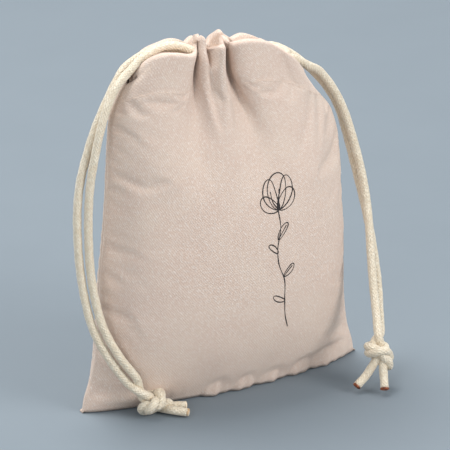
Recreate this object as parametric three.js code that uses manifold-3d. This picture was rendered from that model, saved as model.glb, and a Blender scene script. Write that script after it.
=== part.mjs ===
// A small drawstring pouch in brushed faux suede, drawn shut and standing on its bottom seam.
// Two panels are sewn down both sides and along the bottom. The top of each panel is turned
// into a casing, and two satin cords run through both casings, one leaving at each side slit.
// Units are millimetres. +X runs along the width, -Y faces the viewer and +Z is up.
import * as THREE from 'three';
import { mergeVertices } from 'three/addons/utils/BufferGeometryUtils.js';
import Module from 'manifold-3d';

const wasm = await Module();
wasm.setup();

// Cloth body
const CLOTH = 1.0;
const BOTTOM_HALF_WIDTH = 54;
const BELLY_HALF_DEPTH = 21;
const FLOOR_HALF_DEPTH = 8;
const SEAM_GAP = 0.3;
const SEAM_THICKNESS = 1.0;
const SEAM_ALLOWANCE = 6.5;
const ROLL = 1.2;
const COLUMNS = 20;

// Casings, tilted because the right side of the mouth sags
const CASING_CENTRE_HEIGHT = 121.5;
const CASING_TILT = THREE.MathUtils.degToRad(7);
const CASING_HALF_LENGTH = 28;
const CASING_OFFSET = 5.2;
const CASING_WALL = 0.8;
const TUNNEL_HALF_HEIGHT = 4.9;
const PANEL_TO_CASING_GAP = 0.3;

// Drawstrings
const CORD_DIAMETER = 3;
const CORD_CLEARANCE = 0.4;
const LOOP_SPACING = 3.9;
const CORD_SIDES = 8;
const JOINT_GAP = 0.3;
const KNOT_RADIUS = 5;
const KNOT_HALF_LENGTH = 5.4;
const THREAD_RADIUS = 0.2;
const THREAD_INSET = 1.1;

const cordRadius = CORD_DIAMETER / 2;
const seamHalf = SEAM_THICKNESS / 2;
const panelEdge = seamHalf + SEAM_GAP;
const sideEdge = panelEdge + CLOTH / 2;
const tunnelHalfDepth = cordRadius + CORD_CLEARANCE;
const casingHalfDepth = tunnelHalfDepth + CASING_WALL;
const casingHalfHeight = TUNNEL_HALF_HEIGHT + CASING_WALL;
const tiltSlope = Math.tan(CASING_TILT);
const panelTop = CASING_CENTRE_HEIGHT - casingHalfHeight / Math.cos(CASING_TILT) - PANEL_TO_CASING_GAP;
const neckHalfWidth = CASING_HALF_LENGTH + CLOTH / 2;
const neckHalfDepth = CASING_OFFSET + casingHalfDepth - CLOTH / 2;

// Outline of the stuffed body, bottom to top: height and half width as shares of the panel
// height and of the bottom width, and half depth as a share of the belly
const BODY = [
  { rise: 0, width: 1, depth: 0.38 },
  { rise: 0.035, width: 0.997, depth: 0.5 },
  { rise: 0.09, width: 0.972, depth: 0.66 },
  { rise: 0.17, width: 0.952, depth: 0.83 },
  { rise: 0.27, width: 0.937, depth: 0.95 },
  { rise: 0.39, width: 0.926, depth: 1 },
  { rise: 0.51, width: 0.916, depth: 0.99 },
  { rise: 0.63, width: 0.903, depth: 0.94 },
  { rise: 0.74, width: 0.883, depth: 0.85 },
  { rise: 0.83, width: 0.84, depth: 0.73 },
  { rise: 0.9, width: 0.765, depth: 0.6 },
  { rise: 0.96, width: 0.645, depth: 0.47 },
];

// Routes of the cord pairs, pivot to knot: the middle of the pair, and half the way from the
// back strand to the front strand, in cord radii
const LEFT_PAIR = [
  { at: [-36.5, 0, 124.8], half: [0, -1.17, 0] },
  { at: [-41.2, -0.6, 120.2], half: [-0.27, -1.07, 0.2] },
  { at: [-45.2, -1.2, 114], half: [-0.27, -1.07, 0.2] },
  { at: [-48.9, -1.6, 106], half: [0, -1.17, 0.07] },
  { at: [-52, -1.8, 96.5], half: [0.47, -1.07, 0.07] },
  { at: [-54.4, -2, 87], half: [0.87, -0.9, 0.07] },
  { at: [-55.6, -2.3, 77], half: [1.07, -0.73, 0] },
  { at: [-55.9, -2.8, 66], half: [1.07, -0.67, 0] },
  { at: [-55.6, -3.6, 55], half: [1, -0.67, 0] },
  { at: [-54.6, -5.2, 44], half: [0.97, -0.67, 0.07] },
  { at: [-52.6, -7.4, 33.5], half: [0.97, -0.67, 0.27] },
  { at: [-47.8, -10.4, 22.5], half: [0.9, -0.6, 0.53] },
  { at: [-42, -12.6, 13.6], half: [0.77, -0.4, 0.77] },
  { at: [-36, -13.8, 6.5], half: [0.73, -0.33, 0.87] },
];
const RIGHT_PAIR = [
  { at: [36, 2, 112.8], half: [0, -1.17, 0] },
  { at: [41, 3.3, 109], half: [0.2, -1.13, 0.27] },
  { at: [46.2, 2.8, 102.4], half: [0.13, -1.13, 0.2] },
  { at: [50.4, 1.6, 94], half: [0, -1.17, 0.07] },
  { at: [52.6, -0.6, 84.5], half: [0.1, -1.17, 0] },
  { at: [54.2, -3.2, 74.5], half: [0.1, -1.17, 0.07] },
  { at: [55, -6.6, 64.3], half: [-0.1, -1.17, 0.07] },
  { at: [54.8, -10.8, 54], half: [-0.5, -1.07, 0] },
  { at: [53.8, -15.2, 43.9], half: [-0.87, -0.85, 0.07] },
  { at: [52.4, -20, 33.5], half: [-1.03, -0.7, 0.07] },
  { at: [50.4, -25, 25], half: [-0.93, -0.83, 0.07] },
  { at: [48.2, -29.8, 18.2], half: [-0.8, -0.95, 0.07] },
  { at: [46.4, -32.8, 12.5], half: [-0.8, -0.95, 0.07] },
];

// Loops outside the casings, as points of the back half: from the exit to the pivot of the
// pair, and round the slit at the far side
const LEFT_LEAD = [[-31.5, 4.7, 127.3], [-34.3, 3, 126.6]];
const RIGHT_LEAD = [[31, 4.9, 115.6], [33.6, 3.2, 114.5]];
const LEFT_BIGHT = [[31.2, 5, 119.6], [34.4, 3.6, 118.4], [36, 0, 117.8]];
const RIGHT_BIGHT = [[-31.2, 5, 122.2], [-34, 3.6, 120.6], [-35.6, 0, 119.8]];

// Knots and tails: the tails start inside the knot and are cut back to its surface
const LEFT_KNOT = { at: [-35, -14.4, 5.5], along: [0.5, -0.1, -0.85] };
const RIGHT_KNOT = { at: [46.3, -33, 13], along: [-0.25, -0.35, -0.9] };
const LEFT_TAILS = [
  [[-33.5, -15.9, 3.6], [-29.3, -18.9, 2.3], [-25.6, -21.9, 1.9]],
  [[-33.2, -13.2, 4.2], [-28.4, -14.4, 2.3], [-23.4, -16.2, 1.9]],
];
const RIGHT_TAILS = [
  [[45, -33.1, 11], [40.8, -33.3, 5.8], [37, -33.5, 2.9]],
  [[46.2, -35, 11], [45.3, -37.7, 6.4], [44.2, -40.2, 2.9]],
];
const STRAND_STEPS = 17;
const LOOP_STEPS = 30;
const TAIL_STEPS = 3;

const suede = new THREE.MeshStandardMaterial({ color: 0xd6c4b6, roughness: 0.95, metalness: 0 });
const suedeInside = new THREE.MeshStandardMaterial({ color: 0xc3ad9d, roughness: 0.98, metalness: 0 });
const thread = new THREE.MeshStandardMaterial({ color: 0xe6d8cb, roughness: 0.7, metalness: 0 });
const satin = new THREE.MeshStandardMaterial({ color: 0xf0e6cf, roughness: 0.42, metalness: 0 });

const pouch = new THREE.Group();

function addPiece(name, geometry, material, parent = pouch) {
  const mesh = new THREE.Mesh(geometry, material);
  mesh.name = name;
  parent.add(mesh);
  return mesh;
}

// ---- Booleans ----

function toSolid(geometry) {
  const bare = geometry.clone();
  bare.deleteAttribute('normal');
  bare.deleteAttribute('uv');
  const merged = mergeVertices(bare, 1e-4);
  const mesh = new wasm.Mesh({
    numProp: 3,
    vertProperties: new Float32Array(merged.attributes.position.array),
    triVerts: new Uint32Array(merged.index.array),
  });
  mesh.merge();
  return new wasm.Manifold(mesh);
}

function toGeometry(solid) {
  const mesh = solid.getMesh();
  const geometry = new THREE.BufferGeometry();
  geometry.setAttribute('position', new THREE.BufferAttribute(mesh.vertProperties, 3));
  geometry.setIndex(new THREE.BufferAttribute(mesh.triVerts, 1));
  return geometry;
}

// ---- Cloth panels ----

// Catmull-Rom value of one outline measure at a height share
function outlineAt(rise, measure) {
  const rows = [...BODY, {
    rise: 1,
    width: neckHalfWidth / BOTTOM_HALF_WIDTH,
    depth: neckHalfDepth / BELLY_HALF_DEPTH,
  }];
  const points = rows.map((row) => new THREE.Vector2(row.rise, row[measure]));
  const upper = Math.max(1, rows.findIndex((row) => row.rise >= rise));
  const p0 = points[Math.max(0, upper - 2)];
  const p1 = points[upper - 1];
  const p2 = points[upper];
  const p3 = points[Math.min(points.length - 1, upper + 1)];
  const step = p2.x - p1.x;
  const share = (rise - p1.x) / step;
  const tangent = (a, b) => (b.x > a.x ? ((b.y - a.y) / (b.x - a.x)) * step : 0);
  const start = tangent(p0, p2);
  const end = tangent(p1, p3);
  const square = share * share;
  const cube = square * share;
  return (2 * cube - 3 * square + 1) * p1.y + (cube - 2 * square + share) * start
    + (3 * square - 2 * cube) * p2.y + (cube - square) * end;
}

const halfWidthAt = (rise) => BOTTOM_HALF_WIDTH * outlineAt(rise, 'width');
const halfDepthAt = (rise) => BELLY_HALF_DEPTH * outlineAt(rise, 'depth');

// The mouth's tilt fades out below the shoulders
const tiltShareAt = (rise) => THREE.MathUtils.smoothstep(rise, 0.55, 1);
const heightAt = (rise, x) => rise * panelTop - x * tiltSlope * tiltShareAt(rise);

// Sections are pointed near the floor, rounder at the belly and squarer at the neck
function squarenessAt(rise) {
  const belly = 0.7 * THREE.MathUtils.smoothstep(rise, 0.1, 0.45);
  const neck = 3.8 * THREE.MathUtils.smoothstep(rise, 0.75, 1);
  return 1.5 + belly + neck;
}

function lens(across, squareness) {
  return (1 - Math.abs(across) ** squareness) ** (1 / squareness);
}

const WALL_RISES = [0.04, 0.09, 0.16, 0.25, 0.35, 0.45, 0.55, 0.65, 0.74, 0.82, 0.89, 0.95, 1];

// Middle surface of the front panel: rows from the bottom seam, columns from left to right
function panelMiddle() {
  const columns = [];
  for (let column = 0; column <= COLUMNS; column += 1) {
    const across = Math.sin((column / COLUMNS - 0.5) * Math.PI);
    const floor = FLOOR_HALF_DEPTH * lens(across, 2);
    const edgeX = across * BOTTOM_HALF_WIDTH;
    const rows = [
      new THREE.Vector3(edgeX, -panelEdge, CLOTH / 2),
      new THREE.Vector3(edgeX, -Math.max(sideEdge, floor - ROLL), CLOTH / 2),
      new THREE.Vector3(edgeX, -Math.max(sideEdge + SEAM_GAP, floor), CLOTH / 2 + ROLL),
    ];
    for (const rise of WALL_RISES) {
      const x = across * halfWidthAt(rise);
      const depth = halfDepthAt(rise) - sideEdge - SEAM_GAP;
      const y = -(sideEdge + SEAM_GAP + depth * lens(across, squarenessAt(rise)));
      rows.push(new THREE.Vector3(x, y, heightAt(rise, x)));
    }
    columns.push(rows);
  }
  return columns;
}

function panelNormal(middle, column, row) {
  const lastRow = middle[0].length - 1;
  if (row <= 1) return new THREE.Vector3(0, 0, -1);
  if (column === 0) return new THREE.Vector3(-1, 0, 0);
  if (column === COLUMNS) return new THREE.Vector3(1, 0, 0);
  const alongX = middle[column + 1][row].clone().sub(middle[column - 1][row]);
  const alongZ = middle[column][Math.min(lastRow, row + 1)].clone().sub(middle[column][row - 1]);
  const normal = alongX.cross(alongZ);
  if (row === lastRow) normal.z = 0;
  return normal.normalize();
}

function panelGeometry() {
  const middle = panelMiddle();
  const rowCount = middle[0].length;
  const positions = [];
  for (const side of [1, -1]) {
    for (let column = 0; column <= COLUMNS; column += 1) {
      for (let row = 0; row < rowCount; row += 1) {
        const normal = panelNormal(middle, column, row);
        const point = middle[column][row].clone().addScaledVector(normal, side * CLOTH / 2);
        positions.push(point.x, point.y, point.z);
      }
    }
  }
  const layer = (COLUMNS + 1) * rowCount;
  const outer = (column, row) => column * rowCount + row;
  const inner = (column, row) => layer + outer(column, row);
  const index = [];
  const quad = (a, b, c, d) => index.push(a, b, c, a, c, d);
  for (let column = 0; column < COLUMNS; column += 1) {
    for (let row = 0; row < rowCount - 1; row += 1) {
      quad(outer(column, row), outer(column + 1, row), outer(column + 1, row + 1), outer(column, row + 1));
      quad(inner(column, row), inner(column, row + 1), inner(column + 1, row + 1), inner(column + 1, row));
    }
    const top = rowCount - 1;
    quad(outer(column, 0), inner(column, 0), inner(column + 1, 0), outer(column + 1, 0));
    quad(outer(column, top), outer(column + 1, top), inner(column + 1, top), inner(column, top));
  }
  for (let row = 0; row < rowCount - 1; row += 1) {
    quad(outer(0, row), outer(0, row + 1), inner(0, row + 1), inner(0, row));
    quad(outer(COLUMNS, row), inner(COLUMNS, row), inner(COLUMNS, row + 1), outer(COLUMNS, row + 1));
  }
  const geometry = new THREE.BufferGeometry();
  geometry.setAttribute('position', new THREE.Float32BufferAttribute(positions, 3));
  geometry.setIndex(index);
  return geometry;
}

// The back panel is the front one seen in a mirror, so its faces are turned over again
function mirroredFrontToBack(geometry) {
  const mirrored = geometry.clone();
  mirrored.scale(1, -1, 1);
  const index = mirrored.index;
  for (let corner = 0; corner < index.count; corner += 3) {
    const second = index.getX(corner + 1);
    index.setX(corner + 1, index.getX(corner + 2));
    index.setX(corner + 2, second);
  }
  return mirrored;
}

// ---- Seam allowances, inside the sack ----

function extrudeAcross(outline, thickness) {
  const geometry = new THREE.ExtrudeGeometry(outline, { depth: thickness, bevelEnabled: false });
  geometry.translate(0, 0, -thickness / 2);
  geometry.rotateX(Math.PI / 2);
  return geometry;
}

function sideSeamGeometry(side) {
  const rises = WALL_RISES.filter((rise) => rise * panelTop > SEAM_ALLOWANCE + SEAM_GAP);
  const edge = rises.map((rise) => {
    const x = side * halfWidthAt(rise);
    return new THREE.Vector2(x, heightAt(rise, x));
  });
  const inside = edge.map((point) => new THREE.Vector2(point.x - side * SEAM_ALLOWANCE, point.y));
  return extrudeAcross(new THREE.Shape([...edge, ...inside.reverse()]), SEAM_THICKNESS);
}

function bottomSeamGeometry() {
  const half = BOTTOM_HALF_WIDTH - CLOTH;
  const outline = new THREE.Shape([
    new THREE.Vector2(-half, 0),
    new THREE.Vector2(half, 0),
    new THREE.Vector2(half - SEAM_ALLOWANCE, SEAM_ALLOWANCE),
    new THREE.Vector2(SEAM_ALLOWANCE - half, SEAM_ALLOWANCE),
  ]);
  return extrudeAcross(outline, SEAM_THICKNESS);
}

// ---- Casings and their stitching ----

const mouth = new THREE.Group();
mouth.position.set(0, 0, CASING_CENTRE_HEIGHT);
mouth.rotation.y = CASING_TILT;
pouch.add(mouth);

function rectangle(halfDepth, halfHeight) {
  return [
    new THREE.Vector2(-halfHeight, -halfDepth),
    new THREE.Vector2(halfHeight, -halfDepth),
    new THREE.Vector2(halfHeight, halfDepth),
    new THREE.Vector2(-halfHeight, halfDepth),
  ];
}

function casingGeometry() {
  const outline = new THREE.Shape(rectangle(casingHalfDepth, casingHalfHeight));
  outline.holes.push(new THREE.Path(rectangle(tunnelHalfDepth, TUNNEL_HALF_HEIGHT)));
  const length = 2 * CASING_HALF_LENGTH;
  const geometry = new THREE.ExtrudeGeometry(outline, { depth: length, bevelEnabled: false });
  geometry.translate(0, 0, -CASING_HALF_LENGTH);
  geometry.rotateY(Math.PI / 2);
  return geometry;
}

function stitchingGeometry() {
  const geometry = new THREE.CylinderGeometry(
    THREAD_RADIUS, THREAD_RADIUS, 2 * (CASING_HALF_LENGTH - THREAD_INSET), CORD_SIDES,
  );
  geometry.rotateZ(Math.PI / 2);
  return geometry;
}

function addCasing(name, side) {
  const casing = addPiece(`${name}_casing`, casingGeometry(), suede, mouth);
  casing.position.y = side * CASING_OFFSET;
  const stitching = addPiece(`${name}_casing_stitching`, stitchingGeometry(), thread, mouth);
  stitching.position.y = side * (CASING_OFFSET + casingHalfDepth + SEAM_GAP + THREAD_RADIUS);
  stitching.position.z = THREAD_INSET - casingHalfHeight;
}

// ---- Drawstrings ----

function cordSection() {
  const corners = [];
  for (let corner = 0; corner < CORD_SIDES; corner += 1) {
    const angle = ((corner + 0.5) / CORD_SIDES) * 2 * Math.PI;
    corners.push(new THREE.Vector2(Math.cos(angle), Math.sin(angle)).multiplyScalar(cordRadius));
  }
  return new THREE.Shape(corners);
}

function tube(points, steps) {
  const path = new THREE.CatmullRomCurve3(points, false, 'centripetal');
  return new THREE.ExtrudeGeometry(cordSection(), { steps, extrudePath: path, bevelEnabled: false });
}

function ball(centre, radius) {
  const geometry = new THREE.SphereGeometry(radius, 12, 8);
  geometry.translate(...centre);
  return toSolid(geometry);
}

// An overhand knot's outer shape: a barrel that narrows to where the strands enter
function knotSolid(knot, growth) {
  const profile = [];
  const rings = 8;
  for (let ring = 0; ring <= rings; ring += 1) {
    const angle = (ring / rings) * Math.PI;
    const radius = (KNOT_RADIUS + growth) * Math.sin(angle) ** 0.8;
    profile.push(new THREE.Vector2(ring % rings ? radius : 0, -(KNOT_HALF_LENGTH + growth) * Math.cos(angle)));
  }
  const geometry = new THREE.LatheGeometry(profile, 14);
  const turn = new THREE.Quaternion().setFromUnitVectors(
    new THREE.Vector3(0, 1, 0), new THREE.Vector3(...knot.along).normalize(),
  );
  geometry.applyQuaternion(turn);
  geometry.translate(...knot.at);
  return toSolid(geometry);
}

// side is 1 for the front strand of a pair and -1 for the back one
function pairPoint(stop, side) {
  return stop.at.map((value, axis) => value + side * cordRadius * stop.half[axis]);
}

function strandGeometry(pair, side, knot) {
  const points = pair.map((stop) => new THREE.Vector3(...pairPoint(stop, side)));
  const joined = toSolid(tube(points, STRAND_STEPS)).add(ball(pairPoint(pair[0], side), cordRadius));
  return toGeometry(joined.subtract(knotSolid(knot, JOINT_GAP)));
}

// Place of a loop's cord in a tunnel, level 1 for the upper loop and -1 for the lower one
function tunnelPoint(along, side, level) {
  const point = new THREE.Vector3(along, side * CASING_OFFSET, level * LOOP_SPACING / 2);
  point.applyAxisAngle(new THREE.Vector3(0, 1, 0), CASING_TILT);
  point.z += CASING_CENTRE_HEIGHT;
  return point;
}

// One cord from the pivot of its pair through the front casing, round the far slit and back
function loopGeometry(pair, lead, bight, level) {
  const exitSide = Math.sign(pair[0].at[0]);
  const half = (side) => [
    new THREE.Vector3(...pairPoint(pair[0], -side)),
    ...[...lead].reverse().map(([x, y, z]) => new THREE.Vector3(x, side * y, z)),
    tunnelPoint(exitSide * CASING_HALF_LENGTH, side, level),
    tunnelPoint(exitSide * CASING_HALF_LENGTH / 3, side, level),
    tunnelPoint(-exitSide * CASING_HALF_LENGTH / 3, side, level),
    tunnelPoint(-exitSide * CASING_HALF_LENGTH, side, level),
    ...bight.slice(0, -1).map(([x, y, z]) => new THREE.Vector3(x, side * y, z)),
  ];
  const turn = new THREE.Vector3(...bight.at(-1));
  let solid = toSolid(tube([...half(-1), turn, ...half(1).reverse()], LOOP_STEPS));
  for (const side of [1, -1]) {
    solid = solid.subtract(ball(pairPoint(pair[0], side), cordRadius + JOINT_GAP));
  }
  return toGeometry(solid);
}

function tailGeometry(route, knot) {
  const points = route.map((point) => new THREE.Vector3(...point));
  return toGeometry(toSolid(tube(points, TAIL_STEPS)).subtract(knotSolid(knot, JOINT_GAP)));
}

function addDrawstring(name, pair, lead, bight, level, knot, tails) {
  addPiece(`${name}_cord_loop`, loopGeometry(pair, lead, bight, level), satin);
  addPiece(`${name}_front_strand`, strandGeometry(pair, 1, knot), satin);
  addPiece(`${name}_back_strand`, strandGeometry(pair, -1, knot), satin);
  addPiece(`${name}_knot`, toGeometry(knotSolid(knot, 0)), satin);
  addPiece(`${name}_front_tail`, tailGeometry(tails[0], knot), satin);
  addPiece(`${name}_back_tail`, tailGeometry(tails[1], knot), satin);
}

// ---- Assembly ----

const frontPanel = panelGeometry();
addPiece('front_panel', frontPanel, suede);
addPiece('back_panel', mirroredFrontToBack(frontPanel), suede);
addPiece('left_side_seam', sideSeamGeometry(-1), suedeInside);
addPiece('right_side_seam', sideSeamGeometry(1), suedeInside);
addPiece('bottom_seam', bottomSeamGeometry(), suedeInside);
addCasing('front', -1);
addCasing('back', 1);
addDrawstring('left', LEFT_PAIR, LEFT_LEAD, LEFT_BIGHT, 1, LEFT_KNOT, LEFT_TAILS);
addDrawstring('right', RIGHT_PAIR, RIGHT_LEAD, RIGHT_BIGHT, -1, RIGHT_KNOT, RIGHT_TAILS);

export default pouch;
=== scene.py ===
import math

import bpy
import numpy as np
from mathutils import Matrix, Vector


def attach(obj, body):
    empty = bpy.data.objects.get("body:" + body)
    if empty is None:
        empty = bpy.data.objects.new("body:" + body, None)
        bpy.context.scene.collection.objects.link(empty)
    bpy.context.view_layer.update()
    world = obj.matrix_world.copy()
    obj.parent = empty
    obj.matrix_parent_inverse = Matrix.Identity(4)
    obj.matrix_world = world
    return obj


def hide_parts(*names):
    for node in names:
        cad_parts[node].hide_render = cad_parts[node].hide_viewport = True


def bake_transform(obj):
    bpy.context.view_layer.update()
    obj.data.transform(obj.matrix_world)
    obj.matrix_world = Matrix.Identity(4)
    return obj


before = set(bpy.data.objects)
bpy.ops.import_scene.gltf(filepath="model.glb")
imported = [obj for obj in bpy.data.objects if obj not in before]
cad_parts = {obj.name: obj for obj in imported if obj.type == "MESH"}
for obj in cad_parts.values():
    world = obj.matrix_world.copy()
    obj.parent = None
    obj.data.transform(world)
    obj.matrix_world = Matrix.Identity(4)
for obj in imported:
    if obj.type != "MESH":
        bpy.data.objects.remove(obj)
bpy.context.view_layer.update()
MM = 0.001

# ---------------------------------------------------------------------------
# Camera: a long lens a little to the left of the front and above it, so the
# sack keeps its upright sides.
# ---------------------------------------------------------------------------
CAMERA_TURN = math.radians(-30)
CAMERA_RISE = math.radians(22)
CAMERA_DISTANCE = 2.0
VIEW_WIDTH = 0.1563
SENSOR = 36.0

camera_back = Vector((
    math.sin(CAMERA_TURN) * math.cos(CAMERA_RISE),
    -math.cos(CAMERA_TURN) * math.cos(CAMERA_RISE),
    math.sin(CAMERA_RISE),
))
camera_aim = Vector((-8.5, -18.8, 68)) * MM
camera_data = bpy.data.cameras.new("camera")
camera_data.sensor_width = SENSOR
camera_data.lens = SENSOR * CAMERA_DISTANCE / VIEW_WIDTH
camera_data.clip_end = 10
camera = bpy.data.objects.new("camera", camera_data)
bpy.context.scene.collection.objects.link(camera)
camera.location = camera_aim + camera_back * CAMERA_DISTANCE
camera.rotation_mode = "QUATERNION"
camera.rotation_quaternion = (-camera_back).to_track_quat("-Z", "Y")
bpy.context.scene.camera = camera


# ---------------------------------------------------------------------------
# Drawstrings: two 3 mm satin rattail cords. Each runs through both casings and
# leaves at one side slit, where its two ends hang down in a pair and are tied
# together in one overhand knot. The cut ends are melted so that they can't fray.
# ---------------------------------------------------------------------------
class Wire:
    """A value on its way through a finish, so that its maths can be written as sums."""

    def __init__(self, finish, socket):
        self.finish = finish
        self.socket = socket

    def sum(self, operation, *values):
        return self.finish.node("ShaderNodeMath", {"operation": operation}, dict(enumerate(values)))

    def __add__(self, other):
        return self.sum("ADD", self, other)

    def __radd__(self, other):
        return self.sum("ADD", other, self)

    def __sub__(self, other):
        return self.sum("SUBTRACT", self, other)

    def __rsub__(self, other):
        return self.sum("SUBTRACT", other, self)

    def __mul__(self, other):
        return self.sum("MULTIPLY", self, other)

    def __rmul__(self, other):
        return self.sum("MULTIPLY", other, self)

    def sine(self):
        return self.sum("SINE", self)

    def between(self, low, high):
        """0 below low, 1 above high and smooth between them."""
        return self.finish.node(
            "ShaderNodeMapRange", {"interpolation_type": "SMOOTHSTEP"},
            {"Value": self, "From Min": low, "From Max": high},
        )


class Finish:
    """A material with one Principled shader, made by naming its nodes and their values."""

    def __init__(self, name):
        self.material = bpy.data.materials.new(name)
        self.material.use_nodes = True
        self.tree = self.material.node_tree
        self.tree.nodes.clear()
        self.shader = self.tree.nodes.new("ShaderNodeBsdfPrincipled")
        output = self.tree.nodes.new("ShaderNodeOutputMaterial")
        self.tree.links.new(self.shader.outputs["BSDF"], output.inputs["Surface"])

    def node(self, kind, settings=None, values=None, output=0):
        made = self.tree.nodes.new(kind)
        for key, value in (settings or {}).items():
            setattr(made, key, value)
        for key, value in (values or {}).items():
            self.join(value, made.inputs[key])
        return Wire(self, made.outputs[output])

    def join(self, value, socket):
        if isinstance(value, Wire):
            self.tree.links.new(value.socket, socket)
        else:
            socket.default_value = value

    def set(self, **values):
        for key, value in values.items():
            self.join(value, self.shader.inputs[key.replace("_", " ")])

    def noise(self, place, scale, detail=2.0, roughness=0.5):
        return self.node(
            "ShaderNodeTexNoise", None,
            {"Vector": place, "Scale": scale, "Detail": detail, "Roughness": roughness},
        )

    def mix(self, share, first, second):
        """A colour between two, all of the second where share is 1."""
        return self.node(
            "ShaderNodeMix", {"data_type": "RGBA"}, {0: share, 6: first, 7: second}, output=2,
        )

    def bump(self, height, distance):
        values = {"Height": height, "Distance": distance, "Strength": 1.0}
        return self.node("ShaderNodeBump", None, values)


def colour(red, green, blue):
    """Linear colour, with full opacity, of an sRGB one."""
    def linear(value):
        return value / 12.92 if value <= 0.04045 else ((value + 0.055) / 1.055) ** 2.4
    return (linear(red / 255), linear(green / 255), linear(blue / 255), 1)


def add_mesh(name, points, faces, finish=None, smooth=True):
    mesh = bpy.data.meshes.new(name)
    mesh.from_pydata([tuple(p) for p in points], [], [tuple(f) for f in faces])
    mesh.update()
    mesh.polygons.foreach_set("use_smooth", [smooth] * len(mesh.polygons))
    made = bpy.data.objects.new(name, mesh)
    bpy.context.scene.collection.objects.link(made)
    if finish is not None:
        mesh.materials.append(finish.material)
    return made


def set_uv(made, places):
    """Writes a flat place, in metres, for each vertex as the mesh's UV map."""
    layer = made.data.uv_layers.new(name="flat")
    loops = np.zeros(len(made.data.loops), np.int32)
    made.data.loops.foreach_get("vertex_index", loops)
    layer.data.foreach_set("uv", np.asarray(places, np.float32)[loops].ravel())


def satin():
    """Cream satin: fine threads laid at a slant round the cord, with a soft silky gloss, painted tan shade
    in the grooves between the threads and a patchy tan tone.
    """
    finish = Finish("satin_cord")
    place = finish.node("ShaderNodeUVMap", {"uv_map": "flat"})
    parts = finish.tree.nodes.new("ShaderNodeSeparateXYZ")
    finish.join(place, parts.inputs[0])
    along = Wire(finish, parts.outputs[0])
    round_it = Wire(finish, parts.outputs[1])
    solid = finish.node("ShaderNodeTexCoord", None, None, output=3)
    uneven = finish.noise(solid, 900.0, 3.0)
    slant = ((along * 760.0 + round_it * 900.0 + uneven * 1.8) * math.tau).sine()
    cross = ((along * 760.0 - round_it * 900.0 + uneven * 1.8) * math.tau).sine()
    threads = slant * 0.6 + cross * 0.4
    cloudy = finish.noise(solid, 260.0, 3.0)
    base = finish.mix(cloudy, colour(240, 228, 204), colour(252, 245, 228))
    # painted shade: up to half tan in the grooves between the threads, plus a patchy tan tone of the cord's
    # own where the noise is low
    shade = (threads * 0.5 + 0.5) * (uneven.between(0.3, 0.7))
    base = finish.mix(0.5 * (1 - shade), base, colour(198, 170, 132))
    finish.set(Base_Color=base, Roughness=0.38 + 0.18 * uneven, Sheen_Weight=0.35)
    finish.set(Sheen_Roughness=0.35, Specular_IOR_Level=0.55, Anisotropic=0.4)
    finish.set(Normal=finish.bump(threads + uneven * 1.6, 0.00014))
    return finish


def smooth_line(points, spacing):
    """Points at even spacing along a centripetal Catmull-Rom curve through the given points."""
    stops = np.asarray(points, float)
    padded = np.vstack([2 * stops[0] - stops[1], stops, 2 * stops[-1] - stops[-2]])
    dense = []
    for k in range(1, len(padded) - 2):
        p0, p1, p2, p3 = padded[k - 1:k + 3]
        t1 = np.linalg.norm(p1 - p0) ** 0.5
        t2 = t1 + np.linalg.norm(p2 - p1) ** 0.5
        t3 = t2 + np.linalg.norm(p3 - p2) ** 0.5
        t = np.linspace(t1, t2, 24, endpoint=False)[:, None]
        a1 = (t1 - t) / t1 * p0 + t / t1 * p1
        a2 = (t2 - t) / (t2 - t1) * p1 + (t - t1) / (t2 - t1) * p2
        a3 = (t3 - t) / (t3 - t2) * p2 + (t - t2) / (t3 - t2) * p3
        b1 = (t2 - t) / t2 * a1 + t / t2 * a2
        b2 = (t3 - t) / (t3 - t1) * a2 + (t - t1) / (t3 - t1) * a3
        dense.append((t2 - t) / (t2 - t1) * b1 + (t - t1) / (t2 - t1) * b2)
    dense = np.vstack([*dense, stops[-1:]])
    lengths = np.r_[0, np.cumsum(np.linalg.norm(np.diff(dense, axis=0), axis=1))]
    count = max(4, int(round(lengths[-1] / spacing)) + 1)
    even = np.linspace(0, lengths[-1], count)
    return np.stack([np.interp(even, lengths, dense[:, axis]) for axis in range(3)], axis=1)


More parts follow.
